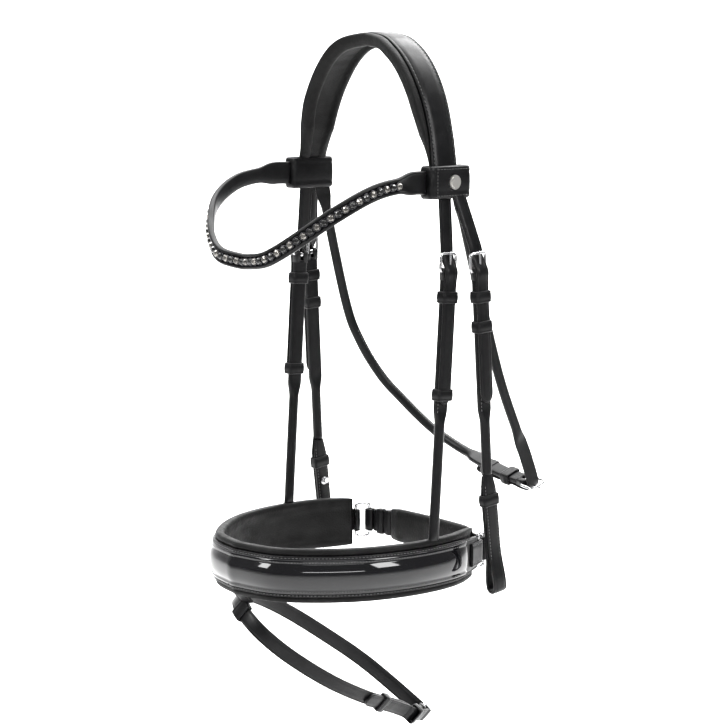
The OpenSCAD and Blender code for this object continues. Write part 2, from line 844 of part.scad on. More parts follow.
on_side(-1) in_frame(hanger_frame) translate([0, 0, nose_runner_z]) strap_keeper();  // nose_runner_right
noseband_base();
noseband_padding();
patent_overlay();
flash_loop();
ring_chapes();
on_side(1) crank_ring();  // crank_ring_left
on_side(-1) crank_ring();  // crank_ring_right
chin_strap();
chin_pad();
chin_keepers();
chin_buckle();
chin_tongue();
on_side(1) billet(cheek_pivot, cheek_frame);  // cheek_billet_left
on_side(-1) billet(cheek_pivot, cheek_frame);  // cheek_billet_right
on_side(1) cheek_strap();  // cheek_strap_left
on_side(-1) cheek_strap();  // cheek_strap_right
on_side(1) in_frame(cheek_frame) buckle_frame();  // cheek_buckle_left
on_side(-1) in_frame(cheek_frame) buckle_frame();  // cheek_buckle_right
on_side(1) in_frame(cheek_frame) buckle_tongue();  // cheek_tongue_left
on_side(-1) in_frame(cheek_frame) buckle_tongue();  // cheek_tongue_right
on_side(1) in_frame(cheek_frame) translate([0, 0, fixed_keeper_z]) strap_keeper();  // cheek_keeper_left
on_side(-1) in_frame(cheek_frame) translate([0, 0, fixed_keeper_z]) strap_keeper();  // cheek_keeper_right
on_side(1) in_frame(cheek_frame) translate([0, 0, cheek_runner_z]) strap_keeper();  // cheek_runner_left
on_side(-1) in_frame(cheek_frame) translate([0, 0, cheek_runner_z]) strap_keeper();  // cheek_runner_right
on_side(1) bit_loop();  // bit_loop_left
on_side(-1) bit_loop();  // bit_loop_right
on_side(1) bit_keeper();  // bit_keeper_left
on_side(-1) bit_keeper();  // bit_keeper_right
on_side(1) hook_stud();  // hook_stud_left
on_side(-1) hook_stud();  // hook_stud_right
throat_billet();
throatlash();
throat_buckle();
throat_tongue();
throat_keeper();
throat_runner();
flash_strap();
flash_buckle();
flash_tongue();
flash_keeper();
flash_runner();
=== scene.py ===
import json
import math
import bmesh
import bpy
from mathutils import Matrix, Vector, noise

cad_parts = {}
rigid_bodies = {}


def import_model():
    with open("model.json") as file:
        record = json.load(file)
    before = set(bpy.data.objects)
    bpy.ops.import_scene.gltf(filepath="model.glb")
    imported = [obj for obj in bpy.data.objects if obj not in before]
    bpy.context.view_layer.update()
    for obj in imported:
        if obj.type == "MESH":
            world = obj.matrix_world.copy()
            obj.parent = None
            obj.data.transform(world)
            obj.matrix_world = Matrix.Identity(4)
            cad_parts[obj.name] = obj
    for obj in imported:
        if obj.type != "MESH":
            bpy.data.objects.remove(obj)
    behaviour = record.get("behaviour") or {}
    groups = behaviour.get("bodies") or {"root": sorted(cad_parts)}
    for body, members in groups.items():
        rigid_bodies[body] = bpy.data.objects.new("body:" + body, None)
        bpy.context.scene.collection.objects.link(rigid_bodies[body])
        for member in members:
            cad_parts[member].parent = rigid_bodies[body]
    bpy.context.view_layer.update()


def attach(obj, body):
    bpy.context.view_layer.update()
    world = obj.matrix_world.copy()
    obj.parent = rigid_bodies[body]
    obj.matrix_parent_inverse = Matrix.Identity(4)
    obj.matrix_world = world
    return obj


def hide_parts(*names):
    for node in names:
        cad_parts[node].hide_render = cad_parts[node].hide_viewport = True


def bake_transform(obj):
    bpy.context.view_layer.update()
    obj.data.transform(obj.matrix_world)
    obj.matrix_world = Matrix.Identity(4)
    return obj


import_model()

MM = 0.001
UP = Vector((0, 0, 1))
LEFT = Vector((1, 0, 0))


def V(*c):
    return Vector(c)


# ---- Camera ----

AIM = V(0, -0.009, -0.2724)
AZ, EL, DIST = math.radians(50), math.radians(8.3), 1.932
cam_data = bpy.data.cameras.new("camera")
cam_data.lens = 111.1
cam_data.sensor_width = 36
camera = bpy.data.objects.new("camera", cam_data)
bpy.context.scene.collection.objects.link(camera)
toward = V(math.sin(AZ) * math.cos(EL), -math.cos(AZ) * math.cos(EL), math.sin(EL))
camera.location = AIM + DIST * toward
camera.rotation_euler = (-toward).to_track_quat("-Z", "Y").to_euler()
bpy.context.scene.camera = camera
bpy.context.scene.view_settings.view_transform = "Standard"


# ---- Materials ----


def new_material(name):
    m = bpy.data.materials.new(name)
    m.use_nodes = True
    t = m.node_tree
    return m, t, t.nodes["Principled BSDF"]


def add(t, kind, **values):
    n = t.nodes.new(kind)
    for k, v in values.items():
        if k in n.inputs:
            n.inputs[k].default_value = v
        else:
            setattr(n, k, v)
    return n


def coords(t):
    return t.nodes.new("ShaderNodeTexCoord").outputs["Object"]


def noise_tex(t, scale, detail=4.0, rough=0.55):
    n = add(t, "ShaderNodeTexNoise", Scale=scale, Detail=detail, Roughness=rough)
    t.links.new(coords(t), n.inputs["Vector"])
    return n.outputs["Fac"]


def ramp(t, source, low, high, a=0.35, b=0.65):
    r = add(t, "ShaderNodeMapRange")
    r.inputs["From Min"].default_value = a
    r.inputs["From Max"].default_value = b
    r.inputs["To Min"].default_value = low
    r.inputs["To Max"].default_value = high
    t.links.new(source, r.inputs["Value"])
    return r.outputs["Result"]


def two_tone(t, source, dark, light, target):
    r = t.nodes.new("ShaderNodeValToRGB")
    r.color_ramp.elements[0].position = 0.35
    r.color_ramp.elements[1].position = 0.7
    r.color_ramp.elements[0].color = (*dark, 1)
    r.color_ramp.elements[1].color = (*light, 1)
    t.links.new(source, r.inputs["Fac"])
    t.links.new(r.outputs["Color"], target)


def leather(name, dark, light, rough, grain, depth, coat=0.0, pores=900.0):
    m, t, p = new_material(name)
    two_tone(t, noise_tex(t, 35.0), dark, light, p.inputs["Base Color"])
    t.links.new(ramp(t, noise_tex(t, 120.0), rough - 0.06, rough + 0.08), p.inputs["Roughness"])
    cells = add(t, "ShaderNodeTexVoronoi", Scale=pores)
    t.links.new(coords(t), cells.inputs["Vector"])
    fine = add(t, "ShaderNodeBump", Strength=grain, Distance=depth)
    t.links.new(cells.outputs["Distance"], fine.inputs["Height"])
    broad = add(t, "ShaderNodeBump", Strength=0.25, Distance=0.0006)
    t.links.new(noise_tex(t, 90.0, 3.0), broad.inputs["Height"])
    t.links.new(broad.outputs["Normal"], fine.inputs["Normal"])
    t.links.new(fine.outputs["Normal"], p.inputs["Normal"])
    p.inputs["Coat Weight"].default_value = coat
    p.inputs["Coat Roughness"].default_value = 0.25
    p.inputs["Specular IOR Level"].default_value = 0.13
    return m


smooth_leather = leather(
    "smooth_leather", (0.004, 0.004, 0.0045), (0.008, 0.008, 0.0085), 0.34, 0.35, 0.00012, 0.12)
flesh_leather = leather(
    "inner_leather", (0.005, 0.005, 0.005), (0.010, 0.010, 0.010), 0.55, 0.5, 0.0002, 0.0, 700.0)
soft_leather = leather(
    "soft_leather", (0.005, 0.005, 0.005), (0.010, 0.010, 0.010), 0.50, 0.6, 0.0003, 0.0, 650.0)


def patent():
    m, t, p = new_material("patent_leather")
    two_tone(t, noise_tex(t, 20.0), (0.003, 0.003, 0.004), (0.006, 0.006, 0.007),
             p.inputs["Base Color"])
    t.links.new(ramp(t, noise_tex(t, 60.0), 0.05, 0.10), p.inputs["Roughness"])
    b = add(t, "ShaderNodeBump", Strength=0.22, Distance=0.0009)
    t.links.new(noise_tex(t, 28.0, 2.0), b.inputs["Height"])
    t.links.new(b.outputs["Normal"], p.inputs["Normal"])
    p.inputs["Specular IOR Level"].default_value = 0.35
    p.inputs["Coat Weight"].default_value = 0.6
    p.inputs["Coat Roughness"].default_value = 0.03
    return m


def metal(name, color, rough):
    m, t, p = new_material(name)
    two_tone(t, noise_tex(t, 200.0), color, tuple(min(1, c * 1.12) for c in color),
             p.inputs["Base Color"])
    t.links.new(ramp(t, noise_tex(t, 600.0), rough, rough + 0.12), p.inputs["Roughness"])
    b = add(t, "ShaderNodeBump", Strength=0.12, Distance=0.0001)
    t.links.new(noise_tex(t, 1500.0), b.inputs["Height"])
    t.links.new(b.outputs["Normal"], p.inputs["Normal"])
    p.inputs["Metallic"].default_value = 1.0
    return m


def stone(name, dark, light):
    m, t, p = new_material(name)
    two_tone(t, noise_tex(t, 350.0), dark, light, p.inputs["Base Color"])
    t.links.new(ramp(t, noise_tex(t, 800.0), 0.03, 0.08), p.inputs["Roughness"])
    p.inputs["Metallic"].default_value = 0.75
    p.inputs["Coat Weight"].default_value = 1.0
    p.inputs["Coat Roughness"].default_value = 0.02
    return m


# Stitch thread: black thread whose colour is lifted to dark grey as painted sheen, so the seams
# read light as highlights would make them; the noise between the two greys is random tone.
def painted_sheen_thread_material():
    m, t, p = new_material("thread_painted_sheen")
    two_tone(t, noise_tex(t, 500.0), (0.05, 0.05, 0.05), (0.12, 0.12, 0.12),
             p.inputs["Base Color"])
    t.links.new(ramp(t, noise_tex(t, 900.0), 0.35, 0.5), p.inputs["Roughness"])
    return m


patent_leather = patent()
steel = metal("polished_steel", (0.62, 0.62, 0.63), 0.12)
satin = metal("satin_badge", (0.62, 0.61, 0.58), 0.28)
gunmetal = metal("stone_cups", (0.10, 0.10, 0.11), 0.22)
stone_dark = stone("stone_dark", (0.02, 0.02, 0.02), (0.07, 0.07, 0.07))
stone_clear = stone("stone_clear", (0.10, 0.095, 0.09), (0.38, 0.36, 0.33))
painted_sheen_thread = painted_sheen_thread_material()


def backdrop_material():
    m, t, p = new_material("pale_floor")
    two_tone(t, noise_tex(t, 2.0), (0.90, 0.90, 0.90), (0.94, 0.94, 0.94),
             p.inputs["Base Color"])
    p.inputs["Roughness"].default_value = 0.9
    return m


# ---- Curves and swept leather, in millimetres until a mesh is made ----


def square_to(v, t):
    return (v - v.dot(t) * t).normalized()


def frame_at(p, along, out):
    a = along.normalized()
    o = square_to(out, a)
    return p, o, a.cross(o), a


def world(f, x, y, z):
    return f[0] + x * f[1] + y * f[2] + z * f[3]


def curve(p, n):
    out = []
    for i in range(len(p) - 1):
        a, b, c, d = p[max(i - 1, 0)], p[i], p[i + 1], p[min(i + 2, len(p) - 1)]
        for k in range(n):
            t = k / n
            out.append(0.5 * (2 * b + (c - a) * t + (2 * a - 5 * b + 4 * c - d) * t * t
                              + (3 * b - a - 3 * c + d) * t * t * t))
    out.append(p[-1])
    return out


def flip(p, s):
    return V(s * p.x, p.y, p.z)


def both(p):
    return [flip(q, -1) for q in reversed(p[1:])] + list(p)


def tangent(p, i):
    return (p[min(i + 1, len(p) - 1)] - p[max(i - 1, 0)]).normalized()


def even(path, step):
    """The path again, in equal steps along its length."""
    total = [0.0]
    for a, b in zip(path, path[1:]):
        total.append(total[-1] + (b - a).length)
    n = max(2, round(total[-1] / step))
    out, k = [], 0
    for i in range(n + 1):
        d = total[-1] * i / n
        while k < len(path) - 2 and total[k + 1] < d:
            k += 1
        span = max(total[k + 1] - total[k], 1e-9)
        out.append(path[k].lerp(path[k + 1], (d - total[k]) / span))
    return out


def piece(name, verts, faces, material, body, nodes=(), flat=False, s=1):
    me = bpy.data.meshes.new(name)
    me.from_pydata([(s * v.x * MM, v.y * MM, v.z * MM) for v in verts], [], faces)
    bm = bmesh.new()
    bm.from_mesh(me)
    bmesh.ops.recalc_face_normals(bm, faces=bm.faces)
    bm.to_mesh(me)
    bm.free()
    me.materials.append(material)
    me.polygons.foreach_set("use_smooth", [not flat] * len(me.polygons))
    ob = bpy.data.objects.new(name, me)
    bpy.context.scene.collection.objects.link(ob)
    if isinstance(body, str):
        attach(ob, body)
    elif body:
        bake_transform(ob)
    if nodes:
        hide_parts(*nodes)
    return ob


def join(*parts):
    verts, faces = [], []
    for v, f in parts:
        base = len(verts)
        verts += v
        faces += [tuple(base + i for i in q) for q in f]
    return verts, faces


def sweep(path, outs, section, closed=False):
    """Rings of section(i, u) points, (outward, sideways), joined along the path."""
    verts, faces, m = [], [], 0
    n = len(path)
    for i in range(n):
        t = tangent(path, i)
        if closed:
            t = (path[(i + 1) % n] - path[i - 1]).normalized()
        o = square_to(outs(i, t) if callable(outs) else outs, t)
        s = t.cross(o)
        ring = section(i, i / (n - 1))
        m = len(ring)
        verts += [path[i] + x * o + y * s for x, y in ring]
    last = n if closed else n - 1
    for i in range(last):
        for j in range(m):
            a, b = i * m + j, i * m + (j + 1) % m
            c, d = (b + m) % (n * m), (a + m) % (n * m)
            faces.append((a, b, c, d))
    if not closed:
        faces.append(tuple(range(m - 1, -1, -1)))
        faces.append(tuple(range((n - 1) * m, n * m)))
    return verts, faces


def strap(w, low, high, crease=1.7, dome=0.15, groove=0.28, back=False):
    """A strap's section: rounded edges, and a crease pressed in along each side."""
    h, r = w / 2, min(0.9, (high - low) * 0.42)
    def side(x, d, creased):
        c = h - crease
        ys = [h - r, c + 0.45, c, c - 0.45, c * 0.5, 0, -c * 0.5, -c + 0.45, -c, -c - 0.45, -h + r]
        xs = [0, 0, -groove, 0, dome * 0.7, dome, dome * 0.7, 0, -groove, 0, 0]
        if not creased:
            xs = [0] * len(xs)
        return [(x + d * e, y) for e, y in zip(xs, ys)]
    top = side(high, 1, True)
    bottom = side(low, -1, back)
    def corner(x, y, a0):
        return [(x + r * math.cos(a), y + r * math.sin(a))
                for a in [math.radians(a0 + k) for k in (22, 45, 68)]]
    left_top = [(x, y) for x, y in reversed(corner(high - r, -h + r, -90))]
    left_low = [(x, y) for x, y in reversed(corner(low + r, -h + r, -180))]
    right_low = [(x, y) for x, y in reversed(corner(low + r, h - r, 90))]
    right_top = [(x, y) for x, y in reversed(corner(high - r, h - r, 0))]
    return top + left_top + left_low + list(reversed(bottom)) + right_low + right_top


def scaled(ring, k):
    return [(x, y * k) for x, y in ring]


def oval(hx, hy, power, n=28, cx=0.0):
    out = []
    for k in range(n):
        a = 2 * math.pi * (k + 0.5) / n
        c, s = math.cos(a), math.sin(a)
        out.append((cx + hx * math.copysign(abs(c) ** (2 / power), c),
                    hy * math.copysign(abs(s) ** (2 / power), s)))
    return out


def mixed(a, b, t):
    t = min(1, max(0, t))
    t = t * t * (3 - 2 * t)
    return [(p[0] + (q[0] - p[0]) * t, p[1] + (q[1] - p[1]) * t) for p, q in zip(a, b)]


def stitches(path, outs, y, x, length=2.2, step=3.2, r=0.32, start=0.0, stop=1.0):
    """A row of small stitches beside a path: y sideways and x outward from it."""
    fine = even(path, step)
    parts = []
    n = len(fine)
    for i in range(n):
        u = i / (n - 1)
        if u < start or u > stop:
            continue
        t = tangent(fine, i)
        o = square_to(outs(u, t) if callable(outs) else outs, t)
        s = t.cross(o)
        yy = y(u) if callable(y) else y
        c = fine[i] + yy * s + x * o
        verts = []
        for d, k in ((-0.5, 0.35), (-0.3, 1.0), (0.3, 1.0), (0.5, 0.35)):
            for a in range(6):
                g = math.radians(60 * a)
                verts.append(c + d * length * t + r * k * (0.7 * math.cos(g) * o + math.sin(g) * s))
        faces = [(6 * q + a, 6 * q + (a + 1) % 6, 6 * q + 6 + (a + 1) % 6, 6 * q + 6 + a)
                 for q in range(3) for a in range(6)]
        faces += [(5, 4, 3, 2, 1, 0), tuple(range(18, 24))]
        parts.append((verts, faces))
    return join(*parts)


def holes(f, zs, x, r=1.5):
    """Punched holes in a strap, drawn as dark sunken discs with a pressed rim."""
    parts = []
    for z in zs:
        rings = [(r * 1.35, 0.02), (r, 0.06), (r * 0.8, 0.03)]
        verts = [world(f, x + h, q * math.cos(a), z + q * math.sin(a))
                 for q, h in rings for a in [math.radians(30 * k) for k in range(12)]]
        faces = [(12 * k + a, 12 * k + (a + 1) % 12, 12 * k + 12 + (a + 1) % 12, 12 * k + 12 + a)
                 for k in range(2) for a in range(12)] + [tuple(range(24, 36))]
        parts.append((verts, faces))
    return join(*parts)


def sleeve(f, low, high, w, length=10.0, z=0.0, wall=1.3, gap=0.35):
    """A stitched leather keeper round a strap, bowed a little, with creased edges."""
    x0, x1, h = low - gap, high + gap, w / 2 + gap
    cx, hx = (x0 + x1) / 2, (x1 - x0) / 2
    profile = [(-0.5, 0.25), (-0.46, 0.75), (-0.36, 1.0), (-0.3, 0.8), (-0.24, 1.0), (0, 1.08),
               (0.24, 1.0), (0.3, 0.8), (0.36, 1.0), (0.46, 0.75), (0.5, 0.25)]
    rings = [[(cx + x, y) for x, y in oval(hx + wall * k, h + wall * k, 7, 40)]
             for d, k in profile]
    rings += [[(cx + x, y) for x, y in oval(hx, h, 9, 40)] for d in (1, -1)]
    zs = [z + length * d for d, k in profile] + [z + length * 0.48, z - length * 0.48]
    verts = [world(f, x, y, q) for ring, q in zip(rings, zs) for x, y in ring]
    m, n = 40, len(rings)
    faces = []
    for a in range(n):
        b = (a + 1) % n
        faces += [(a * m + j, a * m + (j + 1) % m, b * m + (j + 1) % m, b * m + j)
                  for j in range(m)]
    return verts, faces


# ---- Sizes shared with the part ----

STRAP_W, STRAP_T, ROLL, GAP = 13.0, 2.4, 8.6, 0.3
FRAME_L = 15.0
CHAPE_R = 3.4
NOSE_Z, PIVOT_Z, HEEL_Z, LOOP_Z = -431.0, -129.5, -185.5, -112.0
BILLET_X, BILLET_HEEL_X, BILLET_UNDER_X = 3.9, 4.9, -3.0

hanger = frame_at(V(97.6, -1, HEEL_Z), V(0, 14, 218), LEFT)
cheek = frame_at(V(111.1, 21, HEEL_Z), V(-2, -10, 175.5), LEFT)
bit = frame_at(V(113.1, 31, -361), V(-0.5, -12, 100), LEFT)


def billet_points(f, length):
    return [world(f, *q) for q in (
        (BILLET_UNDER_X, 0, FRAME_L + 6), (BILLET_UNDER_X, 0, FRAME_L + 1),
        (BILLET_UNDER_X / 2 + BILLET_HEEL_X / 2, 0, FRAME_L * 0.5),
        (BILLET_HEEL_X, 0, 0), (BILLET_X, 0, -13), (BILLET_X, 0, -length * 0.55),
        (BILLET_X, 0, -length + 2))]


def tip_taper(path, round_l):
    """Width factors that bring a strap to a rounded point at its end."""
    total = sum((b - a).length for a, b in zip(path, path[1:]))
    out, d = [], 0.0
    for i, p in enumerate(path):
        if i:
            d += (p - path[i - 1]).length
        left = max(total - d, 0.0)
        out.append(1.0 if left > round_l
                   else 0.12 + 0.88 * math.sqrt(max(0, 1 - (1 - left / round_l) ** 2)))
    return out


def billet(name, top, f, length, body, pivot, nodes, s):
    path = even(curve([top] + billet_points(f, length), 10), 2.0)
    k = tip_taper(path, 9)
    ring = strap(STRAP_W, -STRAP_T / 2, STRAP_T / 2, back=True)
    v, q = sweep(path, f[1], lambda i, u: scaled(ring, k[i]))
    ends = (body[0], body[1], flip(pivot + V(0, 0, 8), s), flip(pivot - V(0, 0, 14), s))
    ob = piece(name, v, q, smooth_leather, ends, nodes, s=s)
    zs = [-34, -48, -62, -76, -90] if length > 80 else [-34, -46]
    v, q = holes(f, [z for z in zs if z > -length + 14], BILLET_X + STRAP_T / 2 + 0.1)
    piece(name + "_holes", v, q, flesh_leather, body[1], s=s)


def chape_lobes(f):
    """The strap's fold round the buckle bar: two ears with the tongue's slot between them."""
    outline = [(CHAPE_R * math.cos(a), CHAPE_R * math.sin(a))
               for a in [math.radians(d) for d in range(-20, 201, 20)]]
    outline += [(-2.75, -7), (2.75, -7)]
    parts = []
    for low, high in ((-6.5, -1.75), (1.75, 6.5)):
        rings = [(low, 0.9), (low + 0.4, 1.0), (high - 0.4, 1.0), (high, 0.9)]
        verts = [world(f, x * k, y, z * (k if z > 0 else 1)) for y, k in rings for x, z in outline]
        m = len(outline)
        faces = [(m * r + j, m * r + (j + 1) % m, m * r + m + (j + 1) % m, m * r + m + j)
                 for r in range(3) for j in range(m)]
        faces += [tuple(range(m - 1, -1, -1)), tuple(range(3 * m, 4 * m))]
        parts.append((verts, faces))
    return join(*parts)


def chape_strap(name, f, flat_l, foot_z, body, nodes, s, tail, tuck=0):
    """The turned and sewn buckle end of a strap, which runs on as rolled leather."""
    path = even([world(f, 0, 0, -5), world(f, 0, 0, foot_z)], 2.0)
    flat = oval(STRAP_T + 0.1, STRAP_W / 2, 5)
    round_ = oval(ROLL / 2, ROLL / 2, 2)
    nose = oval(CHAPE_R - 0.6, STRAP_W / 2, 5)
    total = abs(foot_z)
    def section(i, u):
        d = 5 + u * (total - 5)
        if d < 17:
            return mixed(nose, flat, (d - 5) / 12)
        body_ring = mixed(flat, round_, (d - flat_l + 4) / 14)
        if tuck:
            return mixed(body_ring, oval(1.2, 5.5, 4), (d - total + tuck) / 10)
        return body_ring
    v, q = sweep(path, f[1], section)
    ob = piece(name, *join((v, q), chape_lobes(f)), smooth_leather, body, nodes, s=s)
    edge = even([world(f, 0, 0, -8), world(f, 0, 0, -flat_l + 2)], 2.0)
    rows = [stitches(edge, f[1], y, STRAP_T + 0.05, 2.0, 3.0, 0.28) for y in (-5.1, 5.1)]
    seam = even([world(f, 0, 0, -flat_l - 8), world(f, 0, 0, foot_z + tail)], 2.0)
    rows.append(stitches(seam, -f[1] + 0.4 * f[2], 0, ROLL / 2, 2.2, 3.4, 0.3))
    piece(name + "_stitching", *join(*rows), painted_sheen_thread, body, s=s)


def keeper(name, f, z, body, nodes, s, low=-STRAP_T, high=BILLET_X + STRAP_T / 2, w=STRAP_W):
    v, q = sleeve(f, low, high, w, 10.0, z)
    ob = piece(name, v, q, smooth_leather, body, nodes, s=s)


# ---- Hangers and cheekpieces ----

foot_hanger = -234
foot_cheek = -171.5
for side, s in (("left", 1), ("right", -1)):
    np, cp = "noseband", "cheekpiece_" + side
    billet("nose_billet_" + side, V(90, 1, -108), hanger, 112, ("headpiece", np),
           V(88.5, 2, PIVOT_Z), ["nose_billet_" + side], s)
    billet("cheek_billet_" + side, V(92.5, 9, -108), cheek, 112, ("headpiece", cp),
           V(93, 8, PIVOT_Z), ["cheek_billet_" + side], s)
    chape_strap("nose_hanger_" + side, hanger, 118, foot_hanger, np,
                ["nose_hanger_" + side], s, 24, 16)
    chape_strap("cheek_strap_" + side, cheek, 118, foot_cheek, cp,
                ["cheek_strap_" + side], s, 8)
    for base, f, body, runner in (("nose", hanger, np, -102), ("cheek", cheek, cp, -46)):
        keeper("%s_keeper_%s_leather" % (base, side), f, -21, body,
               ["%s_keeper_%s" % (base, side)], s)
        keeper("%s_runner_%s_leather" % (base, side), f, runner,
               "%s_runner_%s_body" % (base, side), ["%s_runner_%s" % (base, side)], s)

    # The bit loop: one strap folded round the ring's place and sewn to itself
    leaf = STRAP_T + GAP - STRAP_T / 2
    r_mid = 3.2 + STRAP_T / 2
    z0 = -94.4
    line = [world(bit, 0.4, 0, 6), world(bit, leaf, 0, -8), world(bit, leaf, 0, -40),
            world(bit, leaf, 0, z0 + 30), world(bit, r_mid, 0, z0 + 8)]
    line += [world(bit, r_mid * math.cos(a), 0, z0 + r_mid * math.sin(a))
             for a in [math.radians(d) for d in (0, -30, -60, -90, -120, -150, -180)]]
    line += [world(bit, -r_mid, 0, z0 + 8), world(bit, -leaf, 0, z0 + 30),
             world(bit, -leaf, 0, -40), world(bit, -leaf, 0, -8), world(bit, -leaf, 0, 3)]
    path = even(curve(line, 6), 1.6)
    ring = strap(14, -STRAP_T / 2, STRAP_T / 2)
    def away(i, t, path=path):
        return t.cross(bit[2])
    v, q = sweep(path, away, lambda i, u: scaled(ring, 0.62 + 0.38 * min(1, u * 14, (1 - u) * 14)))
    ob = piece("bit_loop_" + side, v, q, smooth_leather, cp, ["bit_loop_" + side], s=s)
    rows = []
    for x, o in ((leaf + STRAP_T / 2 + 0.05, 1), (-leaf - STRAP_T / 2 - 0.05, -1)):
        edge = [world(bit, 0, 0, -6), world(bit, 0, 0, z0 + 26)]
        for y in (-5.3, 5.3):
            rows.append(stitches(even(edge, 2), o * bit[1], y, abs(x), 1.9, 2.8, 0.3))
    piece("bit_loop_%s_stitching" % side, *join(*rows), painted_sheen_thread, cp, s=s)
    keeper("bit_keeper_%s_leather" % side, bit, -18, cp, ["bit_keeper_" + side], s,
           -STRAP_T - GAP, STRAP_T + GAP, 14)


# ---- Crown ----

crown_line = [V(0, 2, 7), V(27, 2, 2), V(49.6, 2, -14.6), V(67.9, 2, -41.4), V(79.2, 2, -71.7),
              V(85.3, 2, -99.7), V(87, 2, -121)]
crown_path = even(both(curve(crown_line, 8)), 2.5)
CN = len(crown_path) - 1


def crown_out(i, t):
    return V(-t.z, 0, t.x)


def swell(u, a, b):
    t = min(1, max(0, (u - a) / (b - a)))
    return t * t * (3 - 2 * t)


def crown_edges(u):
    """Front and back reach of the crown leather at a share u of its length."""
    d = abs(u - 0.5) * 2
    front = 5 + 5 * swell(d, 0.02, 0.24) + 2 * swell(d, 0.6, 0.95)
    back = 19 - 4 * swell(d, 0.3, 0.95)
    return front, back


def pad_edges(u):
    front, back = crown_edges(u)
    d = abs(u - 0.5) * 2
    return front + 8.5 - 6 * swell(d, 0.55, 0.85), back + 2


def crown_section(u, low, high, grow=0.0, bow=0.0):
    front, back = crown_edges(u)
    front, back = front + grow, back + grow
    base = strap(front + back, low, high, 2.6, 0.4 + bow, 0.35)
    shift = (back - front) / 2
    return [(x, -y - shift) for x, y in base]


def crown_side_of():
    t = tangent(crown_path, CN // 2)
    o = crown_out(0, t)
    return t.cross(o)


side_sign = 1 if crown_side_of().y > 0 else -1


def crown_leather():
    def section(i, u):
        ring = crown_section(u, 0.0, 3.4)
        return [(x, -side_sign * y) for x, y in ring]
    v, q = sweep(crown_path, crown_out, section)
    ob = piece("crown_leather", v, q, smooth_leather, "headpiece", ["crown_strap"])


def crown_pad():
    """Foam and soft leather: a lining between a full roll along each edge."""
    trim = 6
    path = crown_path[trim:-trim]
    m = 64
    def section(i, u):
        k = (i + trim) / CN
        inner_front = crown_edges(k)[0]
        front, back = pad_edges(k)
        end = min(1, 9 * u, 9 * (1 - u))
        lo, hi = -front * (0.85 + 0.15 * end), back * (0.9 + 0.1 * end)
        pts = []
        for j in range(m):
            a = j / (m - 1)
            y = lo + (hi - lo) * a
            edge = min(y - lo, hi - y)
            roll = math.sqrt(max(0, 1 - (1 - min(edge / 6.0, 1)) ** 2))
            roll_fall = 1 - 0.45 * swell(edge, 7, 10.5)
            depth = (1.2 + 7.3 * end) * roll * roll_fall
            p = path[i] + V(0, y, 0)
            fold = 0.35 * noise.noise(V(p.x * 0.03, p.y * 0.05, p.z * 0.45))
            depth += fold * swell(edge, 9, 13)
            pts.append((-depth, y))
        mid, half = (lo - inner_front) / 2 - 0.3, (-inner_front - lo) / 2 + 0.3
        top = []
        for x, y in reversed(pts):
            rim = math.sqrt(max(0, 1 - (1 - min(min(y - lo, hi - y) / 2.5, 1)) ** 2))
            roll = math.sqrt(max(0, 1 - ((y - mid) / half) ** 2))
            top.append((0.5 * rim + 2.6 * end * roll, y))
        ring = pts + top
        return [(x, side_sign * y) for x, y in ring]
    v, q = sweep(path, lambda i, t: crown_out(i, t), section)
    ob = piece("crown_pad", v, q, soft_leather, "headpiece", ["crown_padding"])
    rows = []
    for which in (0, 1):
        def y(u, which=which):
            front, back = crown_edges(u)
            return side_sign * ((back - 2.2) if which else -(front - 2.2))
        rows.append(stitches(crown_path, lambda u, t: crown_out(0, t), y, 3.5, 2.2, 3.4, 0.28,
                             0.05, 0.95))
    piece("crown_stitching", *join(*rows), painted_sheen_thread, "headpiece")


crown_leather()
crown_pad()

# ---- Browband with its loops ----

for side, s in (("left", 1), ("right", -1)):
    f = frame_at(V(89.75, 3, LOOP_Z), UP, LEFT)
    v, q = sleeve(f, -6.0, 6.0, 40.6, 27.0, 0.0, 1.8, 0.25)
    ob = piece("browband_loop_%s_leather" % side, v, q, smooth_leather, "headpiece",
               ["browband_loop_" + side], s=s)
    front_edge = even([world(f, 0, -15.5, -11), world(f, 0, -15.5, 11)], 2)
    rows = [stitches(front_edge, LEFT, 0, 8.2, 1.8, 2.7, 0.28)]
    rows += [stitches(even([world(f, 0, -14, z), world(f, 0, 19, z)], 2), LEFT, 0, 8.15,
                      1.8, 2.9, 0.26) for z in (-10.8, 10.8)]
    piece("browband_loop_%s_stitching" % side, *join(*rows), painted_sheen_thread, "headpiece", s=s)

band_line = [V(0, -137, -176), V(27, -139, -172.8), V(44.4, -135, -165.1), V(61.8, -125, -152.3),
             V(82.7, -104, -132.5), V(92.2, -73, -117.1), V(92.2, -37.4, LOOP_Z),
             V(89.5, -19.4, LOOP_Z)]
band_path = even(both(curve(band_line, 10)), 2.0)
BN = len(band_path) - 1


def level(t):
    return V(-t.y, t.x, 0)


band_sign = 1 if level(tangent(band_path, BN // 2)).y < 0 else -1


def band_out(i, t):
    return band_sign * level(t)


def channel(i, u):
    """A padded browband with a rim on each side of the row of stones."""
    end = min(u, 1 - u)
    flat = 1 - swell(end, 0.04, 0.085)
    h = 6.5 + 3.2 * flat
    t = 2.5 - 0.6 * flat
    well = 1.5 * (1 - flat)
    return [(t - 0.2, h - 0.8), (t + 0.25, h - 1.4), (t + 0.3, h - 2.0), (t - well * 0.6, h - 2.7),
            (t - well, h - 3.2), (t - well, 0), (t - well, -h + 3.2), (t - well * 0.6, -h + 2.7),
            (t + 0.3, -h + 2.0), (t + 0.25, -h + 1.4), (t - 0.2, -h + 0.8), (t - 1.0, -h),
            (-t + 1.0, -h), (-t + 0.2, -h + 0.7), (-t - 0.4, -h * 0.5), (-t - 0.6, 0),
            (-t - 0.4, h * 0.5), (-t + 0.2, h - 0.7), (-t + 1.0, h), (t - 1.0, h)]


v, q = sweep(band_path, band_out, channel)
ob = piece("browband_leather", v, q, smooth_leather, "headpiece", ["browband"])


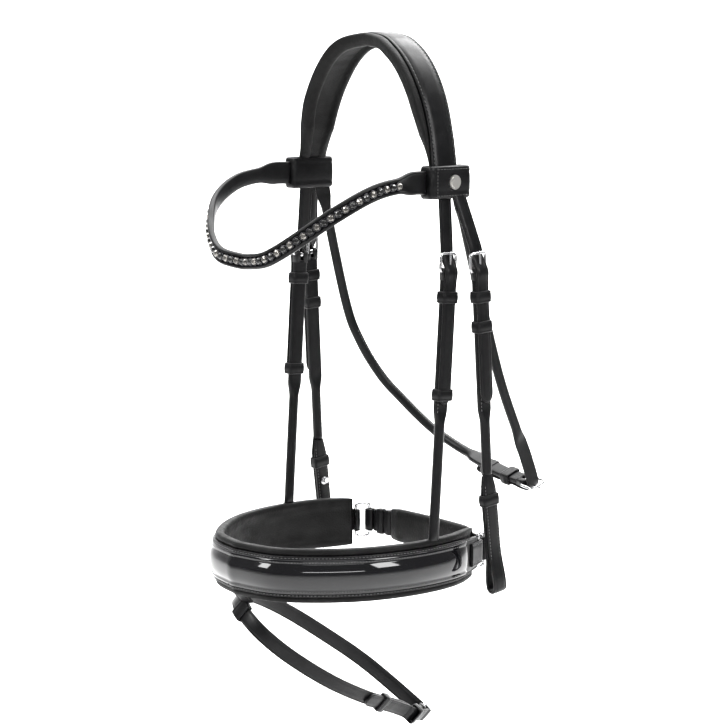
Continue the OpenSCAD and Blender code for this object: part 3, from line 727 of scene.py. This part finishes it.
def stone_mesh(c, o, t, r, h):
    s = t.cross(o)
    rings = [(1.0, 0.25, 0), (0.92, 0.6, 22.5), (0.62, 0.95, 0), (0.42, 1.0, 22.5)]
    verts = [c + r * k * (math.cos(g) * t + math.sin(g) * s) + h * z * o
             for k, z, turn in rings
             for g in [math.radians(45 * a + turn) for a in range(8)]]
    faces = []
    for q in range(3):
        for a in range(8):
            b = (a + 1) % 8
            lo, hi = 8 * q, 8 * q + 8
            if rings[q][2] == 0:
                faces += [(lo + a, lo + b, hi + a), (hi + a, lo + b, hi + b)]
            else:
                faces += [(lo + a, hi + b, hi + a), (lo + a, lo + b, hi + b)]
    faces += [tuple(range(24, 32)), tuple(range(7, -1, -1))]
    return verts, faces


def cup_mesh(c, o, t, r):
    s = t.cross(o)
    prof = [(1.05, -0.4), (1.16, 0.3), (1.12, 0.9), (1.0, 1.0), (0.95, 0.5)]
    verts = [c + r * k * (math.cos(g) * t + math.sin(g) * s) + z * o
             for k, z in prof for g in [math.radians(22.5 * a) for a in range(16)]]
    faces = [(16 * q + a, 16 * q + (a + 1) % 16, 16 * q + 16 + (a + 1) % 16, 16 * q + 16 + a)
             for q in range(4) for a in range(16)]
    return verts, faces


dark, clear, cups = [], [], []
stones = even(band_path, 6.6)
SN = len(stones) - 1
for i in range(SN + 1):
    if not 0.07 < i / SN < 0.93:
        continue
    t = tangent(stones, i)
    o = square_to(band_out(0, t), t)
    c = stones[i] + 1.0 * o
    (clear if i % 2 else dark).append(stone_mesh(c + 0.5 * o, o, t, 3.0, 3.0))
    cups.append(cup_mesh(c + 0.3 * o, o, t, 3.0))
ob = piece("browband_dark_stones", *join(*dark), stone_dark, "headpiece",
           ["browband_crystals"], flat=True)
piece("browband_clear_stones", *join(*clear), stone_clear, "headpiece", flat=True)
piece("browband_stone_cups", *join(*cups), gunmetal, "headpiece")


# ---- Noseband ----

nose_line = [V(0, -148, NOSE_Z), V(37.6, -139, NOSE_Z), V(64.4, -116, NOSE_Z), V(85.1, -85, NOSE_Z),
             V(96, -51, NOSE_Z), V(99, -18, NOSE_Z), V(95, 13.5, NOSE_Z), V(82.2, 45, NOSE_Z)]
nose_path = even(both(curve(nose_line, 10)), 2.5)
NN = len(nose_path) - 1
nose_sign = 1 if level(tangent(nose_path, NN // 2)).y < 0 else -1


def nose_out(i, t):
    return nose_sign * level(t)


ob = piece("noseband_leather",
           *sweep(nose_path, nose_out, lambda i, u: scaled(
               strap(34, 0, 3.2, 2.2, 0.1, 0.3), 0.8 + 0.2 * min(1, 14 * min(u, 1 - u)))),
           smooth_leather, "noseband", ["noseband_base"])


def nose_pad():
    """Full soft padding: a roll above and below the strap, hollow inside between them."""
    m = 56
    def section(i, u):
        end = math.sqrt(min(1, 22 * min(u, 1 - u)))
        pts = []
        for j in range(m):
            a = 2 * math.pi * j / m
            c, s = math.cos(a), math.sin(a)
            y = 22.5 * math.copysign(abs(s) ** 0.55, s) * (0.93 + 0.07 * end)
            x = -3.4 + 3.9 * math.copysign(abs(c) ** 0.7, c) * end
            if abs(y) > 16:
                x += 1.9 * swell(abs(y), 16, 19.5) * (1 if c > 0 else -0.4)
            if c < 0:
                p = nose_path[i] + V(0, 0, y)
                x += 1.3 * (1 - swell(abs(y), 9, 16))
                x += 0.9 * noise.noise(V(p.x * 0.04, p.y * 0.04, y * 0.16)) * (abs(y) < 17)
            pts.append((x, y))
        return pts
    v, q = sweep(nose_path, nose_out, section)
    ob = piece("noseband_pad", v, q, soft_leather, "noseband", ["noseband_padding"])


nose_pad()
over_path = nose_path[9:-9]


def overlay_section(i, u):
    """Raised patent leather with a pressed channel beside each sewn edge."""
    end = math.sqrt(min(1, 16 * min(u, 1 - u)))
    h = 14.5
    ys = [h, h - 0.7, h - 2.4, h - 3.4, h - 4.6, h - 7, 4, 0, -4, -h + 7, -h + 4.6, -h + 3.4,
          -h + 2.4, -h + 0.7, -h]
    xs = [3.3, 4.0, 4.3, 3.9, 4.6, 6.0, 6.9, 7.1, 6.9, 6.0, 4.6, 3.9, 4.3, 4.0, 3.3]
    front = [(3.2 + (x - 3.2) * (0.35 + 0.65 * end), y) for x, y in zip(xs, ys)]
    return front + [(3.1, -h), (3.1, 0), (3.1, h)]


ob = piece("patent_panel", *sweep(over_path, nose_out, overlay_section), patent_leather,
           "noseband", ["patent_overlay"])
rows = [stitches(over_path, lambda u, t: nose_out(0, t), y, 4.35, 1.6, 2.4, 0.3, 0.01, 0.99)
        for y in (-12.2, 12.2)]
rows += [stitches(nose_path, lambda u, t: nose_out(0, t), y, 3.3, 2.0, 3.0, 0.28, 0.02, 0.98)
         for y in (-15.6, 15.6)]
piece("noseband_stitching", *join(*rows), painted_sheen_thread, "noseband")

# Ring chapes, folded round the crank rings and sewn to the noseband's ends
nose_end_dir = (V(82.2, 45, NOSE_Z) - V(95, 13.5, NOSE_Z)).normalized()
ring_heel = V(82.2, 45, NOSE_Z) + 5.2 * nose_end_dir + V(1.6, 0, 0)
for side, s in (("left", 1), ("right", -1)):
    f = frame_at(ring_heel, nose_end_dir, LEFT)
    line = [world(f, 2.9, 0, -19), world(f, 2.9, 0, -4)]
    line += [world(f, 2.9 * math.cos(a), 0, 2.9 * math.sin(a))
             for a in [math.radians(d) for d in (0, 40, 80, 120, 160, 200)]]
    path = even(curve(line, 6), 1.2)
    v, q = sweep(path, lambda i, t: f[2].cross(t), lambda i, u: strap(20, -1.2, 1.2, 1.8))
    ob = piece("ring_chape_" + side, v, q, smooth_leather, "noseband",
               ["ring_chapes"] if s == 1 else (), s=s)
    rows = [stitches(even([world(f, 0, y, -17), world(f, 0, y, -5)], 2), f[1], 0, 4.2,
                     1.8, 2.8, 0.28) for y in (-7.6, 7.6)]
    piece("ring_chape_%s_stitching" % side, *join(*rows), painted_sheen_thread, "noseband", s=s)

# ---- Chin strap with its pad ----

ring_f = frame_at(ring_heel, V(-0.45, 1, 0), LEFT)
ring_bar = world(ring_f, 0, 0, 13)
chin_line = [V(0, ring_bar.y + 7, NOSE_Z), V(44.6, ring_bar.y + 5, NOSE_Z),
             V(ring_bar.x - 6.2, ring_bar.y + 1, NOSE_Z)]
chin_path = even(both(curve(chin_line, 8)), 2.0)
BACK = V(0, 1, 0)
parts = [sweep(chin_path, BACK, lambda i, u: strap(20, -1.5, 1.5, 1.8, back=True))]
for s in (-1, 1):
    c = flip(ring_bar, s)
    along = (chin_path[-1] - chin_path[-2]) if s == 1 else (chin_path[0] - chin_path[1])
    fold = [c - 6 * along.normalized() - 2.9 * BACK]
    fold += [c + 2.9 * (math.sin(a) * along.normalized() - math.cos(a) * BACK)
             for a in [math.radians(d) for d in (0, 35, 70, 110, 145, 180)]]
    fold += [c - 6 * along.normalized() + 2.9 * BACK, c - 13 * along.normalized() + 2.6 * BACK]
    p = even(curve(fold, 5), 1.2)
    parts.append(sweep(p, lambda i, t, c=c, p=p: p[i] - c, lambda i, u: strap(20, -1.1, 1.1, 1.8)))
chin = frame_at(V(33.66, ring_bar.y + 9.9, NOSE_Z), V(-1, 0.06, 0), BACK)
start = V(-44.6, ring_bar.y + 6.5, NOSE_Z)
tip = even(curve([start, start + V(29.7, 1.5, 0)] + billet_points(chin, 34), 8), 1.6)
k = tip_taper(tip, 8)
parts.append(sweep(tip, BACK, lambda i, u: scaled(strap(STRAP_W, -1.2, 1.2), k[i])))
p = even([world(chin, 0, 0, -5), world(chin, 0, 0, -17)], 1.5)
parts.append(sweep(p, chin[1], lambda i, u: mixed(oval(2.8, 6.5, 5), oval(2.4, 6.5, 5), u * 1.6)))
parts.append(chape_lobes(chin))
ob = piece("chin_strap_leather", *join(*parts), smooth_leather, "noseband", ["chin_strap"])

pad_path = [p for p in chin_path if -47 < p.x < 68]


def chin_pad():
    """A full cushion on the strap's inner face, sewn round its rim."""
    def section(i, u):
        end = math.sqrt(min(1, 9 * min(u, 1 - u)))
        out = []
        for j in range(44):
            a = 2 * math.pi * j / 44
            c, s = math.cos(a), math.sin(a)
            y = 15 * math.copysign(abs(s) ** 0.5, s) * (0.86 + 0.14 * end)
            x = -4.6 + (3.0 if c > 0 else 5.2) * math.copysign(abs(c) ** 0.6, c) * end
            if c < 0:
                x += 0.5 * noise.noise(V(pad_path[i].x * 0.09, y * 0.12, 3.0))
            out.append((x, y))
        return out
    v, q = sweep(pad_path, BACK, section)
    v = [p + V(0, 0, 1) for p in v]
    ob = piece("chin_cushion", v, q, soft_leather, "noseband", ["chin_pad"])


chin_pad()
for n, x in enumerate((-62.5, -53.0)):
    i = min(range(len(chin_path)), key=lambda j: abs(chin_path[j].x - x))
    f = frame_at(chin_path[i], chin_path[i + 1] - chin_path[i - 1], BACK)
    ob = piece("chin_keeper_%d" % n, *sleeve(f, -1.5, 1.5, 20, 7.5), smooth_leather, "noseband",
               ["chin_keepers"] if n == 0 else ())

# ---- Flash strap ----

flash_front = V(0, -142, -467.5)
flash_back = V(0, 0.855, -0.52).normalized()
flash_side = square_to(V(0.86, 0, -0.5), flash_back)
flash_normal = flash_back.cross(flash_side)


def flash_point(b, s):
    return flash_front + b * flash_back + s * flash_side


flash_q = [(0, 0), (8.4, 26), (33.6, 44), (79, 52), (130, 45.8), (180, 30.2)]
heel = flash_point(222, 13.5)
flash_along = flash_point(240, 0) - heel
flash = frame_at(heel, flash_along, flash_normal.cross(flash_along.normalized()))
inner = [world(flash, 0, 0, -14), world(flash, 0, 0, -28)]
inner += [flash_point(*q) for q in reversed(flash_q)]
inner += [flash_point(b, -s) for b, s in flash_q[1:]]
inner += billet_points(flash, 34)[2:6]
second = [flash_point(*flash_q[i]) + 2.8 * flash_side for i in (5, 4)]
path = even(curve(inner + second, 8), 2.0)
k = tip_taper(path, 8)


def flash_out(i, t):
    return t.cross(flash_normal)


v, q = sweep(path, flash_out, lambda i, u: scaled(strap(STRAP_W, -1.2, 1.2, back=True), k[i]))
p = even([world(flash, 0, 0, -5), world(flash, 0, 0, -17)], 1.5)
fold = join(chape_lobes(flash),
            sweep(p, flash[1], lambda i, u: mixed(oval(2.8, 6.5, 5), oval(2.4, 6.5, 5), u * 1.6)))
ob = piece("flash_leather", *join((v, q), fold), smooth_leather, "flash_assembly", ["flash_strap"])
loop_f = frame_at(flash_front, flash_side, -flash_back)
ring = sleeve(loop_f, -1.2, 1.2, 13, 14.0)
tab_top = V(0, -150.2, -443)
tab_low = flash_front - 8.6 * flash_normal
p = even([tab_top, (tab_top + tab_low) / 2 + V(0, -1.0, 0), tab_low], 1.2)
tab = sweep(p, V(0, -1, 0.1), lambda i, u: strap(17 - 3 * u, -1.0, 1.0, 1.8))
ob = piece("flash_tab", *tab, smooth_leather,
           ("noseband", "flash_assembly", V(0, -150.2, -444), V(0, -147, -458)), ["flash_loop"])
ob = piece("flash_loop_leather", *ring, smooth_leather, "flash_assembly")
keeper("flash_keeper_leather", flash, -21, "flash_assembly", ["flash_keeper"], 1)
a, b = flash_point(*flash_q[4]), flash_point(*flash_q[5])
run = frame_at((a + b) / 2, b - a, flash_side)
keeper("flash_runner_leather", run, 0, "flash_runner_body", ["flash_runner"], 1, -1.2, 3.9)

# ---- Throatlash ----

across = V(0, 0.94, 0.34)
th_along = V(1, 0.02, -0.12)
th_out = across.cross(th_along)
throat = frame_at(V(83.6, 106, -376.5), th_along, th_out)
ROUND = oval(ROLL / 2, ROLL / 2, 2)
FLAT = oval(STRAP_T / 2, STRAP_W / 2, 5)


left = [V(89, 15, -106), V(90, 19, PIVOT_Z), V(91.6, 59, -265.5), V(91.6, 84, -325.5)]
left += [V(91.6, 91, -341)]
local = billet_points(throat, 64)
strap_end = [V(91.6, 97, -354)] + local[2:]
path = even(curve(left + strap_end, 10), 2.0)
k = tip_taper(path, 8)
turn = min(range(len(path)), key=lambda i: (path[i] - V(91.6, 88, -335)).length)


def left_out(i, t):
    return square_to(LEFT, t) if i < turn + 8 else t.cross(throat[2])


def left_section(i, u):
    flat = swell(i, turn - 6, turn + 4) if turn > 6 else 1
    top = swell(-path[i].z, 128, 150)
    ring = mixed(FLAT, ROUND, top * (1 - flat))
    return scaled(ring, k[i])


v, q = sweep(path, left_out, left_section)
ob = piece("throat_billet_leather", v, q, smooth_leather,
           ("headpiece", "throatlash_assembly", V(90, 16, -121), V(90, 22, -145)),
           ["throat_billet"])
right = [V(-89, 15, -106), V(-90, 19, PIVOT_Z), V(-91.6, 46, -229.5), V(-85.6, 58, -266.5),
         V(-75.2, 73, -297.5), V(-60.4, 84, -317.5), V(-34.6, 97, -342.5), V(-9.9, 103, -355.5),
         V(16.8, 106, -364.5)]
right += [world(throat, 0, 0, -30), world(throat, 0, 0, -5)]
path = even(curve(right, 10), 2.0)


def right_section(i, u):
    top = swell(-path[i].z, 128, 150)
    end = swell(path[i].x, 6, 20)
    flat2 = oval(STRAP_T + 0.1, STRAP_W / 2, 5)
    return mixed(mixed(FLAT, ROUND, top), flat2, end)


def right_out(i, t):
    return V(-0.35, 0.2, 0) if path[i].x < -80 else throat[1]


v, q = sweep(path, right_out, right_section)
ob = piece("throatlash_leather", *join((v, q), chape_lobes(throat)), smooth_leather,
           ("headpiece", "throatlash_assembly", V(-90, 16, -121), V(-90, 22, -145)),
           ["throatlash"])
seam = [p for p in path if -88 < p.x < 4]
rows = [stitches(seam, lambda u, t: -square_to(throat[1], t), 0, ROLL / 2, 2.2, 3.4, 0.3)]
edge = even([world(throat, 0, 0, -52), world(throat, 0, 0, -6)], 2)
rows += [stitches(edge, throat[1], y, STRAP_T + 0.1, 2.0, 3.0, 0.28) for y in (-5.1, 5.1)]
piece("throatlash_stitching", *join(*rows), painted_sheen_thread, "throatlash_assembly")
keeper("throat_keeper_leather", throat, -21, "throatlash_assembly", ["throat_keeper"], 1)
keeper("throat_runner_leather", throat, -46, "throat_runner_body", ["throat_runner"], 1)

# ---- Metal parts keep the exact solids ----

for name, ob in bpy.data.objects.items():
    if ob.type != "MESH" or ob.hide_render:
        continue
    base = name.split(".")[0]
    metalwork = ("buckle", "tongue", "crank_ring", "hook_stud")
    if any(w in base for w in metalwork) and "stitch" not in base:
        ob.data.materials.clear()
        ob.data.materials.append(steel)
    elif base == "browband_badge":
        ob.data.materials.clear()
        ob.data.materials.append(satin)

# ---- Studio ----


def studio():
    size, floor = 9.0, -0.66
    back = -toward.copy()
    back.z = 0
    back.normalize()
    side = V(-back.y, back.x, 0)
    prof = [(-9.0, 0.0), (-2.0, 0), (0, 0), (1.0, 0)]
    prof += [(1.0 + 1.2 * math.sin(a), 1.2 - 1.2 * math.cos(a))
             for a in [math.radians(10 * k) for k in range(1, 10)]]
    prof += [(2.2, 2.2), (2.2, 4.2)]
    verts, faces = [], []
    for d, z in prof:
        for w in (-size, 0, size):
            verts.append(back * d + side * w + V(0, 0, floor + z))
    for i in range(len(prof) - 1):
        for j in range(2):
            a = 3 * i + j
            faces.append((a, a + 1, a + 4, a + 3))
    me = bpy.data.meshes.new("backdrop")
    me.from_pydata(verts, [], faces)
    me.materials.append(backdrop_material())
    me.polygons.foreach_set("use_smooth", [True] * len(me.polygons))
    ob = bpy.data.objects.new("backdrop", me)
    bpy.context.scene.collection.objects.link(ob)


studio()


def area(name, where, target, w, h, power):
    d = bpy.data.lights.new(name, "AREA")
    d.shape = "RECTANGLE"
    d.size, d.size_y, d.energy = w, h, power
    ob = bpy.data.objects.new(name, d)
    bpy.context.scene.collection.objects.link(ob)
    ob.location = where
    ob.rotation_euler = (target - where).to_track_quat("-Z", "Y").to_euler()


def around(az, el, dist):
    a, e = math.radians(az), math.radians(el)
    return AIM + dist * V(math.sin(a) * math.cos(e), -math.cos(a) * math.cos(e), math.sin(e))


behind = V(-toward.x, -toward.y, 0).normalized()
area("window_left", around(-12, 30, 1.7), AIM, 0.45, 0.9, 16)
area("window_right", around(98, 32, 1.7), AIM, 0.4, 0.9, 14)
area("low_strip", around(60, 8, 2.3), AIM, 1.6, 0.12, 7)
area("top_soft", AIM + V(0, 0, 2.0), AIM, 2.4, 2.4, 36)
area("rim_back", around(200, 40, 1.8), AIM, 0.8, 1.2, 16)
area("wall_wash", AIM + 0.7 * behind + V(0, 0, 1.9), AIM + 2.2 * behind + V(0, 0, 0.3), 3, 1, 90)
area("floor_wash", AIM + 0.9 * behind + V(0, 0, 1.2), AIM + 1.0 * behind + V(0, 0, -1), 3, 1, 30)

scene_world = bpy.data.worlds.new("studio")
bpy.context.scene.world = scene_world
scene_world.use_nodes = True
background = scene_world.node_tree.nodes["Background"]
background.inputs["Color"].default_value = (1, 1, 1, 1)
background.inputs["Strength"].default_value = 0.22
